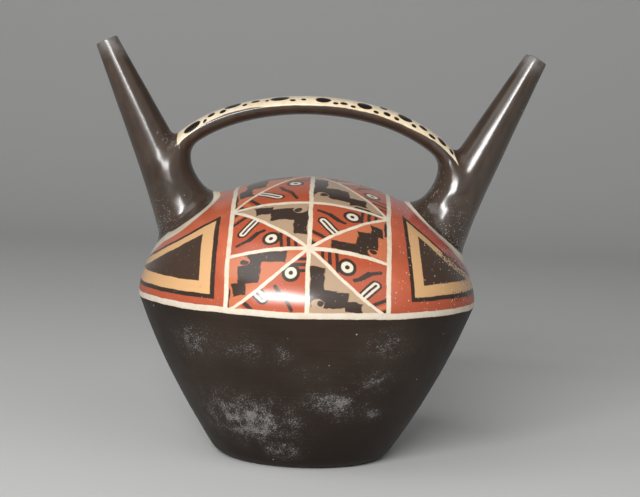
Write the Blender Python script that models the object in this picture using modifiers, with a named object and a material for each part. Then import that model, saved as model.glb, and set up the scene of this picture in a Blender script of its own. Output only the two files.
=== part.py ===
"""Double spout vessel: a fired clay bottle with two leaning spouts and a bridge handle.

The body is turned from a profile, hollow with a wall of even thickness. Each spout is a hollow
cone that opens into the body, and the bridge is a strap of oval section between the two spouts.
All sizes are in metres, +Z is up, and the origin is the centre of the flat foot.
"""
import math
from dataclasses import dataclass

import bmesh
import bpy
from mathutils import Matrix, Vector

# Body
BODY_RADIUS = 0.0760
SHOULDER_HEIGHT = 0.0718
DOME_HEIGHT = 0.0547
DOME_ROUNDNESS = 1.895
FOOT_RADIUS = 0.0380
BELLY_BULGE = 0.0026
HEEL_ROUNDING = 0.0100
WALL = 0.0045
FLOOR_THICKNESS = 0.0060

# Spouts
LIP_RADIUS = 0.0052
LIP_WALL = 0.0014
LIP_EASING = 0.0004
SPOUT_TAPER = 0.087
ROOT_FLARE = 0.0030
ROOT_FLARE_LENGTH = 0.0390
SPOUT_DEPTH = 0.0120
BORE_WALL = 0.0042
LEAN_LEFT = math.radians(26.3)
LEAN_RIGHT = math.radians(27.6)
INSET_LEFT = 0.0198
INSET_RIGHT = 0.0178
LENGTH_LEFT = 0.0861
LENGTH_RIGHT = 0.0879
BRIDGE_DROP_LEFT = 0.0690
BRIDGE_DROP_RIGHT = 0.0687
BRIDGE_SEAT_LEFT = -0.0032
BRIDGE_SEAT_RIGHT = 0.0002

# Bridge
BRIDGE_THICKNESS = 0.0087
BRIDGE_WIDTH = 0.0170
BRIDGE_RISE = 0.0360
BRIDGE_END_SWELL = 0.12

# Fineness of the mesh
BODY_STEPS = 64
CAVITY_STEPS = 48
SPOUT_STEPS = 28
BORE_STEPS = 20
BRIDGE_POINTS = 29
BRIDGE_RESOLUTION = 4
DOME_RINGS = 15
BELLY_RINGS = 7
HEEL_RINGS = 4
SPOUT_RINGS = 9
MERGE_DISTANCE = 0.00001


@dataclass(frozen=True)
class Spout:
    """One spout, which springs from the dome some way in from the shoulder's edge.

    The side is -1 for the left one and +1 for the right one. The bridge's middle line ends a drop
    below the lip, along the spout, and a seat's width in from the spout's axis (out if it is minus).
    """

    name: str
    side: int
    inset: float
    lean: float
    length: float
    bridge_drop: float
    bridge_seat: float


LEFT_SPOUT = Spout("left_spout", -1, INSET_LEFT, LEAN_LEFT, LENGTH_LEFT,
                   BRIDGE_DROP_LEFT, BRIDGE_SEAT_LEFT)
RIGHT_SPOUT = Spout("right_spout", 1, INSET_RIGHT, LEAN_RIGHT, LENGTH_RIGHT,
                    BRIDGE_DROP_RIGHT, BRIDGE_SEAT_RIGHT)


def clear_scene():
    """Remove every object that the file opens with."""
    for item in list(bpy.data.objects):
        bpy.data.objects.remove(item, do_unlink=True)


def new_collection(name):
    """Add a collection to the scene."""
    collection = bpy.data.collections.new(name)
    bpy.context.scene.collection.children.link(collection)
    return collection


def clay_material():
    """Burnished dark brown slip."""
    material = bpy.data.materials.new("burnished_clay")
    material.use_nodes = True
    shader = material.node_tree.nodes["Principled BSDF"]
    shader.inputs["Base Color"].default_value = (0.045, 0.028, 0.020, 1.0)
    shader.inputs["Roughness"].default_value = 0.42
    shader.inputs["Metallic"].default_value = 0.0
    return material


def dome_height_at(radius):
    """Height of the dome's outer face at a distance from the body's axis."""
    share = min(abs(radius) / BODY_RADIUS, 1.0)
    rise = (1.0 - share ** DOME_ROUNDNESS) ** (1.0 / DOME_ROUNDNESS)
    return SHOULDER_HEIGHT + DOME_HEIGHT * rise


def dome_points(rings):
    """The dome's outline from the crown down to the shoulder."""
    points = []
    power = 2.0 / DOME_ROUNDNESS
    for ring in range(rings + 1):
        angle = 0.5 * math.pi * ring / rings
        radius = BODY_RADIUS * math.sin(angle) ** power
        rise = DOME_HEIGHT * max(math.cos(angle), 0.0) ** power
        points.append(Vector((radius, SHOULDER_HEIGHT + rise)))
    return points


def belly_circle():
    """Centre and radius of the long arc from the shoulder to the foot."""
    top = Vector((BODY_RADIUS, SHOULDER_HEIGHT))
    bottom = Vector((FOOT_RADIUS, 0.0))
    half = (top - bottom).length / 2.0
    radius = (half * half + BELLY_BULGE * BELLY_BULGE) / (2.0 * BELLY_BULGE)
    along = (top - bottom).normalized()
    inward = Vector((-along.y, along.x))
    centre = (top + bottom) / 2.0 + inward * (radius - BELLY_BULGE)
    return centre, radius


def heel_circle():
    """Centre of the small arc that rounds the foot's edge, level with the floor and the belly."""
    centre, radius = belly_circle()
    reach = radius - HEEL_ROUNDING
    height = HEEL_ROUNDING - centre.y
    across = centre.x + math.sqrt(reach * reach - height * height)
    return Vector((across, HEEL_ROUNDING))


def belly_points(belly_rings, heel_rings):
    """The outline from below the shoulder, round the heel, to the edge of the flat foot."""
    centre, radius = belly_circle()
    heel = heel_circle()
    start = math.atan2(SHOULDER_HEIGHT - centre.y, BODY_RADIUS - centre.x)
    tangent = math.atan2(heel.y - centre.y, heel.x - centre.x)
    points = []
    for ring in range(1, belly_rings + 1):
        angle = start + (tangent - start) * ring / belly_rings
        points.append(centre + radius * Vector((math.cos(angle), math.sin(angle))))
    for ring in range(1, heel_rings + 1):
        angle = tangent + (-0.5 * math.pi - tangent) * ring / heel_rings
        points.append(heel + HEEL_ROUNDING * Vector((math.cos(angle), math.sin(angle))))
    return points


def body_profile():
    """The body's whole outline, from the crown to the centre of the foot."""
    outline = dome_points(DOME_RINGS) + belly_points(BELLY_RINGS, HEEL_RINGS)
    return outline + [Vector((0.0, 0.0))]


def inner_edge(outline, index):
    """The point one wall in from an outline point, square to the outline."""
    before = outline[max(index - 1, 0)]
    after = outline[min(index + 1, len(outline) - 1)]
    along = (after - before).normalized()
    return outline[index] + WALL * Vector((along.y, -along.x))


def cavity_profile():
    """The hollow's outline: one wall in from the body, with a flat floor."""
    outline = dome_points(DOME_RINGS - 3) + belly_points(BELLY_RINGS, HEEL_RINGS)
    crown = Vector((0.0, outline[0].y - WALL))
    inside = [inner_edge(outline, index) for index in range(1, len(outline))]
    above = [point for point in inside if point.y > FLOOR_THICKNESS]
    below = [point for point in inside if point.y <= FLOOR_THICKNESS][0]
    share = (above[-1].y - FLOOR_THICKNESS) / (above[-1].y - below.y)
    corner = above[-1].lerp(below, share)
    return [crown] + above + [corner, Vector((0.0, FLOOR_THICKNESS))]


def turned(name, profile, steps, collection, material):
    """A closed turned shape from an outline that runs down its outer side."""
    mesh = bpy.data.meshes.new(name)
    work = bmesh.new()
    verts = [work.verts.new((point.x, 0.0, point.y)) for point in profile]
    for first, second in zip(verts, verts[1:]):
        work.edges.new((first, second))
    work.to_mesh(mesh)
    work.free()
    mesh.materials.append(material)
    item = bpy.data.objects.new(name, mesh)
    collection.objects.link(item)
    screw = item.modifiers.new("turn", "SCREW")
    screw.axis = "Z"
    screw.steps = steps
    screw.render_steps = steps
    screw.use_merge_vertices = True
    screw.merge_threshold = MERGE_DISTANCE
    screw.use_smooth_shade = True
    return item


def root_point(spout):
    """Where a spout's axis comes out of the dome."""
    across = BODY_RADIUS - spout.inset
    return Vector((spout.side * across, 0.0, dome_height_at(across)))


def spout_direction(spout):
    """The way a spout points, from its root to its lip."""
    return Vector((spout.side * math.sin(spout.lean), 0.0, math.cos(spout.lean)))


def tip_point(spout):
    """The centre of a spout's lip."""
    return root_point(spout) + spout_direction(spout) * spout.length


def spout_radius(below_lip, length):
    """Outer radius of a spout at a distance below its lip: a cone that flares at the root."""
    flare_start = length + SPOUT_DEPTH - ROOT_FLARE_LENGTH
    into_flare = max(below_lip - flare_start, 0.0) / ROOT_FLARE_LENGTH
    return LIP_RADIUS + SPOUT_TAPER * below_lip + ROOT_FLARE * into_flare ** 2


def bore_radius(below_lip, length):
    """Inner radius of a spout: its wall thickens from the lip to the root."""
    share = min(below_lip / length, 1.0)
    wall = LIP_WALL + (BORE_WALL - LIP_WALL) * share
    return LIP_RADIUS + SPOUT_TAPER * below_lip - wall


def stand_on_spout(item, spout, twist=0.0):
    """Put a shape that was turned about Z, with its lip at zero, on a spout's axis."""
    turn = Matrix.Rotation(spout.side * spout.lean, 4, "Y") @ Matrix.Rotation(twist, 4, "Z")
    item.matrix_world = Matrix.Translation(tip_point(spout)) @ turn


def build_spout(spout, collection, material):
    """The outside of one spout, from its lip down into the body's hollow."""
    depth = spout.length + SPOUT_DEPTH
    profile = [Vector((0.0, 0.0)), Vector((LIP_RADIUS - LIP_EASING, 0.0))]
    profile.append(Vector((LIP_RADIUS, -LIP_EASING)))
    for ring in range(1, SPOUT_RINGS + 1):
        below = depth * ring / SPOUT_RINGS
        profile.append(Vector((spout_radius(below, spout.length), -below)))
    profile.append(Vector((0.0, -depth)))
    item = turned(spout.name, profile, SPOUT_STEPS, collection, material)
    stand_on_spout(item, spout)
    return item


def build_bore(spout, collection, material):
    """The passage through one spout, from above its lip into the hollow."""
    depth = spout.length + SPOUT_DEPTH
    profile = [Vector((0.0, LIP_RADIUS))]
    for below in (-LIP_RADIUS, 0.5 * depth, depth):
        profile.append(Vector((bore_radius(below, spout.length), -below)))
    profile.append(Vector((0.0, -depth)))
    item = turned(spout.name + "_bore", profile, BORE_STEPS, collection, material)
    stand_on_spout(item, spout, math.pi / BORE_STEPS)
    return item


def bridge_seat(spout):
    """Where the bridge's middle line ends, inside a spout."""
    point = tip_point(spout) - spout_direction(spout) * spout.bridge_drop
    return Vector((point.x - spout.side * spout.bridge_seat, 0.0, point.z))


def bridge_line():
    """The bridge's middle line: half an ellipse that springs from the two seats."""
    left = bridge_seat(LEFT_SPOUT)
    right = bridge_seat(RIGHT_SPOUT)
    points = []
    for index in range(BRIDGE_POINTS):
        angle = math.pi * index / (BRIDGE_POINTS - 1)
        along = 0.5 - 0.5 * math.cos(angle)
        base = left.lerp(right, along)
        points.append(base + Vector((0.0, 0.0, BRIDGE_RISE * math.sin(angle))))
    return points


def build_bridge(collection, material):
    """The bridge: a tube along the middle line, widened across to an oval strap."""
    points = bridge_line()
    data = bpy.data.curves.new("bridge_line", "CURVE")
    data.dimensions = "3D"
    data.bevel_depth = BRIDGE_THICKNESS / 2.0
    data.bevel_resolution = BRIDGE_RESOLUTION
    data.use_fill_caps = True
    spline = data.splines.new("POLY")
    spline.points.add(len(points) - 1)
    middle = (len(points) - 1) / 2.0
    for index, point in enumerate(points):
        from_middle = abs(index - middle) / middle
        spline.points[index].co = (point.x, point.y, point.z, 1.0)
        spline.points[index].radius = 1.0 + BRIDGE_END_SWELL * from_middle ** 3
    guide = bpy.data.objects.new("bridge_line", data)
    collection.objects.link(guide)
    guide.scale = (1.0, BRIDGE_WIDTH / BRIDGE_THICKNESS, 1.0)
    bpy.context.view_layer.update()
    placed = guide.matrix_world.copy()
    evaluated = guide.evaluated_get(bpy.context.evaluated_depsgraph_get())
    mesh = bpy.data.meshes.new_from_object(evaluated)
    weld_mesh(mesh)
    bpy.data.objects.remove(guide, do_unlink=True)
    mesh.materials.clear()
    mesh.materials.append(material)
    item = bpy.data.objects.new("bridge", mesh)
    item.matrix_world = placed
    collection.objects.link(item)
    return item


def weld_mesh(mesh):
    """Join the loose caps of a mesh that came from a curve."""
    work = bmesh.new()
    work.from_mesh(mesh)
    bmesh.ops.remove_doubles(work, verts=work.verts, dist=MERGE_DISTANCE)
    bmesh.ops.recalc_face_normals(work, faces=work.faces)
    work.to_mesh(mesh)
    work.free()


def combine(item, other, operation):
    """Join another shape to a piece, or cut it out of the piece."""
    modifier = item.modifiers.new(operation.lower() + "_" + other.name, "BOOLEAN")
    modifier.operation = operation
    modifier.object = other
    modifier.solver = "EXACT"


def hide_guide(item):
    """Mark a shape that only shapes another one."""
    item.hide_render = True
    item.display_type = "WIRE"


def build_vessel():
    """The vessel, one piece of fired clay."""
    parts = new_collection("double_spout_vessel")
    guides = new_collection("shaping")
    clay = clay_material()
    vessel = turned("vessel", body_profile(), BODY_STEPS, parts, clay)
    added = [build_spout(spout, guides, clay) for spout in (LEFT_SPOUT, RIGHT_SPOUT)]
    added.append(build_bridge(guides, clay))
    hollows = [turned("cavity", cavity_profile(), CAVITY_STEPS, guides, clay)]
    hollows += [build_bore(spout, guides, clay) for spout in (LEFT_SPOUT, RIGHT_SPOUT)]
    for item in added:
        combine(vessel, item, "UNION")
    for item in hollows:
        combine(vessel, item, "DIFFERENCE")
    for item in added + hollows:
        hide_guide(item)
    return vessel


clear_scene()
build_vessel()
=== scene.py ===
"""The double spout vessel, dressed for its picture.

One piece of fired clay stands for the whole solid: body, spouts, bridge, lips and the hollow inside.
Its outer face is the solid's form with the soft fillets of joined clay. The slip painting, the
burnish, the wear and some painted shade and light are one material, drawn by shader maths on
the piece's own coordinates.
"""
import logging
import math
from collections.abc import Iterator, Sequence
from contextlib import contextmanager
from dataclasses import dataclass, field
from enum import Enum
from functools import reduce

import bmesh
import bpy
import numpy as np
from mathutils import Matrix, Vector, noise


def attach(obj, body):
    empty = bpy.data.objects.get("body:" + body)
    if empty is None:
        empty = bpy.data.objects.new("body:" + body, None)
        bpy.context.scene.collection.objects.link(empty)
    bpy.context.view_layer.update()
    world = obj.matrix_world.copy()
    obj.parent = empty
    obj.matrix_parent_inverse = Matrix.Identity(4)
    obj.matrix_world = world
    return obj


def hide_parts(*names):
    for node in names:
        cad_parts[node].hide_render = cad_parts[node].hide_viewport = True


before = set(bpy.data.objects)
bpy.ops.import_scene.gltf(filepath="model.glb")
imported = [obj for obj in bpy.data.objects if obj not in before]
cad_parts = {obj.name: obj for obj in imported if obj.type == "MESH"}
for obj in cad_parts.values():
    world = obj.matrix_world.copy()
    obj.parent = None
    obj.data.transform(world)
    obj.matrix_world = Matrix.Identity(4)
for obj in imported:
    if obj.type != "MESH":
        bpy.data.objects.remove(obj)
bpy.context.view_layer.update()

Pair = tuple[float, float]
Triple = tuple[float, float, float]
Quad = tuple[float, float, float, float]
Key = int | str

LOG = logging.getLogger("double_spout_vessel")
MM = 0.001
WELD = 0.002 * MM
QUARTER_TURN = 0.5 * math.pi
VIEWPOINT = (0.0052, -0.7883, 0.1615)


def linear(red: int, green: int, blue: int) -> Quad:
    """Turn a screen colour into the shader's linear one.

    Args:
        red: Red from 0 to 255.
        green: Green from 0 to 255.
        blue: Blue from 0 to 255.

    Returns:
        The linear colour with full alpha.
    """
    shares = [channel / 255.0 for channel in (red, green, blue)]
    values = [s / 12.92 if s <= 0.04045 else ((s + 0.055) / 1.055) ** 2.4 for s in shares]
    return (values[0], values[1], values[2], 1.0)


class Slip(Enum):
    """The potter's slips, and the clay where no slip covers it."""

    UMBER = linear(50, 39, 31)
    UMBER_LIGHT = linear(70, 57, 47)
    # Deep umber is also laid over the lower body as painted shade.
    UMBER_DEEP = linear(27, 19, 14)
    INK = linear(58, 44, 36)
    EARTH = linear(68, 51, 40)
    RED = linear(176, 82, 52)
    # A paler red for the side fields: partly the slip's own tone, partly painted light that brightens
    # the sides.
    RED_PALE_PAINTED_LIGHT = linear(196, 99, 67)
    RED_DEEP = linear(140, 60, 44)
    CRIMSON = linear(188, 84, 76)
    ORANGE = linear(192, 110, 74)
    BEIGE = linear(174, 146, 118)
    TAN = linear(216, 170, 120)
    CREAM = linear(222, 210, 190)
    CREAM_SOILED = linear(206, 182, 140)
    DUST = linear(170, 168, 166)
    BARE_CLAY = linear(146, 92, 66)
    BARE_CLAY_DARK = linear(92, 58, 44)


def deselect_all() -> None:
    """Leave edit mode and select nothing."""
    if bpy.context.object and bpy.context.object.mode != "OBJECT":
        bpy.ops.object.mode_set(mode="OBJECT")
    bpy.ops.object.select_all(action="DESELECT")


def make_active(item: bpy.types.Object) -> None:
    """Select one object alone and make it the active one."""
    deselect_all()
    item.select_set(True)
    bpy.context.view_layer.objects.active = item


def join_into(target: bpy.types.Object, others: Sequence[bpy.types.Object]) -> None:
    """Join other meshes into a target object."""
    make_active(target)
    for other in others:
        other.select_set(True)
    bpy.ops.object.join()


@contextmanager
def editing(item: bpy.types.Object, action: str = "SELECT") -> Iterator[None]:
    """Edit one object's mesh, first with all of it selected or, by DESELECT, none of it."""
    make_active(item)
    bpy.ops.object.mode_set(mode="EDIT")
    bpy.ops.mesh.select_all(action=action)
    yield
    bpy.ops.object.mode_set(mode="OBJECT")


def weld_and_face_out() -> None:
    """In edit mode, merge points in the same place and turn the faces outwards."""
    bpy.ops.mesh.remove_doubles(threshold=WELD)
    bpy.ops.mesh.normals_make_consistent(inside=False)


def bake_placement(item: bpy.types.Object, placement: Matrix | None = None) -> None:
    """Bake an object's placement, or a new one, into its mesh."""
    if placement is not None:
        item.matrix_world = placement
    make_active(item)
    bpy.ops.object.transform_apply(location=True, rotation=True, scale=True)


def apply_modifier(item: bpy.types.Object, kind: str, settings: dict[str, object]) -> None:
    """Put a modifier with its settings on an object, and apply it."""
    make_active(item)
    modifier = item.modifiers.new("shaping", kind)
    for name, setting in settings.items():
        setattr(modifier, name, setting)
    bpy.ops.object.modifier_apply(modifier=modifier.name)


def read_rows(elements: bpy.types.bpy_prop_collection, name: str) -> np.ndarray:
    """Read a vector of each vertex or face of a mesh as an array of rows."""
    flat = np.empty(len(elements) * 3)
    elements.foreach_get(name, flat)
    return flat.reshape(-1, 3)


def write_points(mesh: bpy.types.Mesh, points: np.ndarray) -> None:
    """Write an array of rows back as a mesh's vertices."""
    mesh.vertices.foreach_set("co", points.ravel())
    mesh.update()


def spun(name: str, outline: Sequence[Pair], steps: int) -> bpy.types.Object:
    """Turn an outline about Z, as on a wheel.

    Args:
        name: The new object's name.
        outline: Radius and height of each point, down the outer side.
        steps: How many faces go round.

    Returns:
        The turned object, with merged doubles and faces that point out.
    """
    deselect_all()
    bpy.ops.mesh.primitive_plane_add(size=MM, location=(0.0, 0.0, 0.0))
    item = bpy.context.object
    item.name = name
    with editing(item):
        bpy.ops.mesh.merge(type="CENTER")
        radius, height = outline[0]
        bpy.ops.transform.translate(value=(radius, 0.0, height))
        for (old_r, old_z), (new_r, new_z) in zip(outline, outline[1:]):
            step = (new_r - old_r, 0.0, new_z - old_z)
            bpy.ops.mesh.extrude_vertices_move(TRANSFORM_OT_translate={"value": step})
        bpy.ops.mesh.select_all(action="SELECT")
        bpy.ops.mesh.spin(
            steps=steps, angle=2.0 * math.pi, center=(0.0, 0.0, 0.0), axis=(0.0, 0.0, 1.0))
        bpy.ops.mesh.select_all(action="SELECT")
        weld_and_face_out()
    return item


def arc(centre: Vector, radius: float, start: float, end: float, steps: int) -> list[Vector]:
    """Points on an arc between two angles, without the one at its start."""
    angles = [start + (end - start) * step / steps for step in range(1, steps + 1)]
    return [centre + radius * Vector((math.cos(angle), math.sin(angle))) for angle in angles]


def gap_to_line(points: np.ndarray, line: np.ndarray) -> np.ndarray:
    """Distance of flat points to the nearest stretch of a bent line."""
    nearest = np.full(len(points), np.inf)
    for start, end in zip(line, line[1:]):
        span = end - start
        share = np.clip((points - start) @ span / max(float(span @ span), 1e-18), 0.0, 1.0)
        gap = points - start - share[:, None] * span
        nearest = np.minimum(nearest, (gap * gap).sum(axis=1))
    return np.sqrt(nearest)


def smooth_union(first: np.ndarray, second: np.ndarray, width: np.ndarray | float) -> np.ndarray:
    """Blend two distance fields with a round fillet.

    Args:
        first: Distances to one shape.
        second: Distances to the other shape.
        width: How wide the blend is.

    Returns:
        Distances to the two shapes joined.
    """
    share = np.clip(1.0 - np.abs(first - second) / width, 0.0, 1.0)
    return np.minimum(first, second) - share * share * width * 0.25


@dataclass
class Body:
    """The turned body: a dome, an edge where it is widest, a bellied lower half and a flat foot."""

    radius: float = 76.0 * MM
    shoulder_height: float = 71.8 * MM
    dome_height: float = 54.7 * MM
    dome_roundness: float = 1.895
    foot_radius: float = 38.0 * MM
    belly_bulge: float = 2.6 * MM
    heel_rounding: float = 10.0 * MM
    shoulder_rounding: float = 1.3 * MM
    wall: float = 4.5 * MM
    floor_thickness: float = 6.0 * MM
    dome_rings: int = 44
    belly_rings: int = 22
    heel_rings: int = 9
    ease_steps: int = 4

    def dome_height_at(self, radius: float) -> float:
        """Height of the dome's outer face at a distance from the axis."""
        share = min(abs(radius) / self.radius, 1.0)
        rise = (1.0 - share ** self.dome_roundness) ** (1.0 / self.dome_roundness)
        return self.shoulder_height + self.dome_height * rise

    def dome(self) -> list[Vector]:
        """The dome's outline from the crown to the shoulder."""
        power = 2.0 / self.dome_roundness
        points = []
        for ring in range(self.dome_rings + 1):
            angle = QUARTER_TURN * ring / self.dome_rings
            across = self.radius * math.sin(angle) ** power
            rise = self.dome_height * max(math.cos(angle), 0.0) ** power
            points.append(Vector((across, self.shoulder_height + rise)))
        return points

    def lower_half(self) -> list[Vector]:
        """The outline from below the shoulder, round the heel, to the flat foot."""
        top = Vector((self.radius, self.shoulder_height))
        bottom = Vector((self.foot_radius, 0.0))
        half = (top - bottom).length / 2.0
        bend = (half * half + self.belly_bulge ** 2) / (2.0 * self.belly_bulge)
        along = (top - bottom).normalized()
        centre = (top + bottom) / 2.0 + Vector((-along.y, along.x)) * (bend - self.belly_bulge)
        reach = bend - self.heel_rounding
        lift = self.heel_rounding - centre.y
        heel = Vector((centre.x + math.sqrt(reach * reach - lift * lift), self.heel_rounding))
        start = math.atan2(top.y - centre.y, top.x - centre.x)
        tangent = math.atan2(heel.y - centre.y, heel.x - centre.x)
        belly = arc(centre, bend, start, tangent, self.belly_rings)
        return belly + arc(heel, self.heel_rounding, tangent, -QUARTER_TURN, self.heel_rings)

    def outline(self) -> list[Vector]:
        """The whole outline, with the shoulder's edge eased by a short curve."""
        dome, lower = self.dome(), self.lower_half()
        corner, ease = dome[-1], self.shoulder_rounding
        above, below = [
            [point for point in points if (point - corner).length > 1.6 * ease]
            for points in (dome, lower)]
        first = corner + (above[-1] - corner).normalized() * ease
        last = corner + (below[0] - corner).normalized() * ease
        shares = [index / self.ease_steps for index in range(self.ease_steps + 1)]
        curve = [first.lerp(corner, at).lerp(corner.lerp(last, at), at) for at in shares]
        return above + curve + below + [Vector((0.0, 0.0))]

    def hollow(self) -> list[Pair]:
        """The outline of the hollow: one wall in from the body, over a flat floor."""
        outline = self.dome()[::3] + [self.dome()[-1]] + self.lower_half()[::2]
        inside = [(0.0, outline[0].y - self.wall)]
        for before, here, after in zip(outline, outline[1:], outline[2:]):
            along = (after - before).normalized()
            point = here + self.wall * Vector((along.y, -along.x))
            if point.y > self.floor_thickness:
                inside.append((point.x, point.y))
        inside.append((inside[-1][0] - 0.6 * self.wall, self.floor_thickness))
        return inside + [(0.0, self.floor_thickness)]

    def distance(self, points: np.ndarray) -> np.ndarray:
        """Distance of points to the outer face, below zero inside.

        Args:
            points: Rows of x, y, z in metres.

        Returns:
            One signed distance for each point.
        """
        outline = np.array([tuple(point) for point in self.outline()])
        flat = np.stack([np.hypot(points[:, 0], points[:, 1]), points[:, 2]], axis=1)
        reach = np.interp(flat[:, 1], outline[::-1, 1], outline[::-1, 0])
        inside = (flat[:, 0] < reach) & (flat[:, 1] > 0.0) & (flat[:, 1] < outline[0, 1])
        return gap_to_line(flat, outline) * np.where(inside, -1.0, 1.0)


@dataclass
class Spout:
    """One spout: a hollow cone that leans out from the dome and flares at its root."""

    name: str
    side: int
    inset: float
    lean: float
    length: float
    bridge_drop: float
    bridge_seat: float
    chip_angle: float
    chip_depth: float
    lip_radius: float = 5.2 * MM
    lip_wall: float = 1.4 * MM
    root_wall: float = 4.2 * MM
    taper: float = 0.087
    root_flare: float = 3.0 * MM
    root_flare_length: float = 39.0 * MM
    depth: float = 12.0 * MM
    fillet: float = 3.4 * MM
    crotch_fillet: float = 8.0 * MM

    def direction(self) -> Vector:
        """The way the spout points, from its root to its lip."""
        return Vector((self.side * math.sin(self.lean), 0.0, math.cos(self.lean)))

    def root(self, body: Body) -> Vector:
        """Where the spout's axis comes out of the dome."""
        across = body.radius - self.inset
        return Vector((self.side * across, 0.0, body.dome_height_at(across)))

    def tip(self, body: Body) -> Vector:
        """The centre of the lip."""
        return self.root(body) + self.direction() * self.length

    def radius_at(self, below_lip: np.ndarray | float) -> np.ndarray | float:
        """Outer radius at a distance below the lip."""
        start = self.length + self.depth - self.root_flare_length
        into = np.maximum(below_lip - start, 0.0) / self.root_flare_length
        return self.lip_radius + self.taper * below_lip + self.root_flare * into ** 2

    def bore_at(self, below_lip: float) -> float:
        """Inner radius at a distance below the lip."""
        share = min(below_lip / self.length, 1.0)
        wall = self.lip_wall + (self.root_wall - self.lip_wall) * share
        return self.lip_radius + self.taper * below_lip - wall

    def placed(self, body: Body) -> Matrix:
        """The placement of a shape that was turned about Z with its lip at zero."""
        turn = Matrix.Rotation(self.side * self.lean, 4, "Y")
        return Matrix.Translation(self.tip(body)) @ turn

    def along_and_across(self, points: np.ndarray, body: Body) -> tuple[np.ndarray, np.ndarray]:
        """Distance below the lip along the axis, and the vectors out from the axis."""
        axis = np.array(self.direction())
        offset = points - np.array(self.tip(body))
        below = -(offset @ axis)
        return below, offset + below[:, None] * axis

    def distance(self, points: np.ndarray, body: Body) -> np.ndarray:
        """Distance of points to the spout's outer face, below zero inside."""
        below, across = self.along_and_across(points, body)
        spread = np.linalg.norm(across, axis=1)
        side = (spread - self.radius_at(below)) / math.hypot(1.0, self.taper)
        return np.maximum(side, below - self.length - self.depth)

    def fillet_at(self, points: np.ndarray, body: Body) -> np.ndarray:
        """How wide the joint with the dome is smoothed: widest on the side of the bridge."""
        _, across = self.along_and_across(points, body)
        spread = np.maximum(np.linalg.norm(across, axis=1), MM)
        towards_axis = np.clip(-self.side * across[:, 0] / spread, 0.0, 1.0)
        return self.fillet + self.crotch_fillet * towards_axis


@dataclass
class Bridge:
    """The handle: a strap of oval section on half an ellipse between the spouts."""

    left: Vector
    right: Vector
    thickness: float = 8.7 * MM
    width: float = 17.0 * MM
    rise: float = 36.0 * MM
    crease: float = 3.5 * MM
    fillet: float = 11.0 * MM
    points_along: int = 57

    def middle(self) -> Vector:
        """The point halfway between the seats."""
        return 0.5 * (self.left + self.right)

    def half_span(self) -> float:
        """Half the way from seat to seat."""
        return 0.5 * (self.right - self.left).length

    def middle_line(self) -> list[Vector]:
        """The strap's middle line, from the left seat to the right one."""
        points = []
        for index in range(self.points_along):
            angle = math.pi * index / (self.points_along - 1)
            base = self.left.lerp(self.right, 0.5 - 0.5 * math.cos(angle))
            points.append(base + Vector((0.0, 0.0, self.rise * math.sin(angle))))
        return points

    def fillet_at(self, points: np.ndarray) -> np.ndarray:
        """How wide the joint with a spout is smoothed: a crease on top, a wide fillet below."""
        middle = self.middle()
        across = (points[:, 0] - middle.x) / self.half_span()
        reach = np.hypot(across, (points[:, 2] - middle.z) / self.rise)
        under = np.clip((1.06 - reach) / 0.22, 0.0, 1.0)
        return self.crease + (self.fillet - self.crease) * under * under * (3.0 - 2.0 * under)

    def distance(self, points: np.ndarray) -> np.ndarray:
        """Distance of points to the strap's face, below zero inside."""
        line = np.array([(point.x, point.z) for point in self.middle_line()])
        gap = gap_to_line(points[:, [0, 2]], line)
        return np.hypot(gap, points[:, 1] * self.thickness / self.width) - 0.5 * self.thickness

    def rough(self) -> bpy.types.Object:
        """The strap as a swept tube, for the first rough union."""
        deselect_all()
        bpy.ops.curve.primitive_bezier_curve_add(location=(0.0, 0.0, 0.0))
        item = bpy.context.object
        data = item.data
        data.splines.clear()
        line = self.middle_line()
        spline = data.splines.new("POLY")
        spline.points.add(len(line) - 1)
        for knot, point in zip(spline.points, line):
            knot.co = (point.x, point.y, point.z, 1.0)
        data.bevel_depth = self.thickness / 2.0
        data.bevel_resolution = 5
        data.use_fill_caps = True
        item.scale = (1.0, self.width / self.thickness, 1.0)
        bpy.ops.object.convert(target="MESH")
        bake_placement(item)
        with editing(item):
            weld_and_face_out()
        return item


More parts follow.
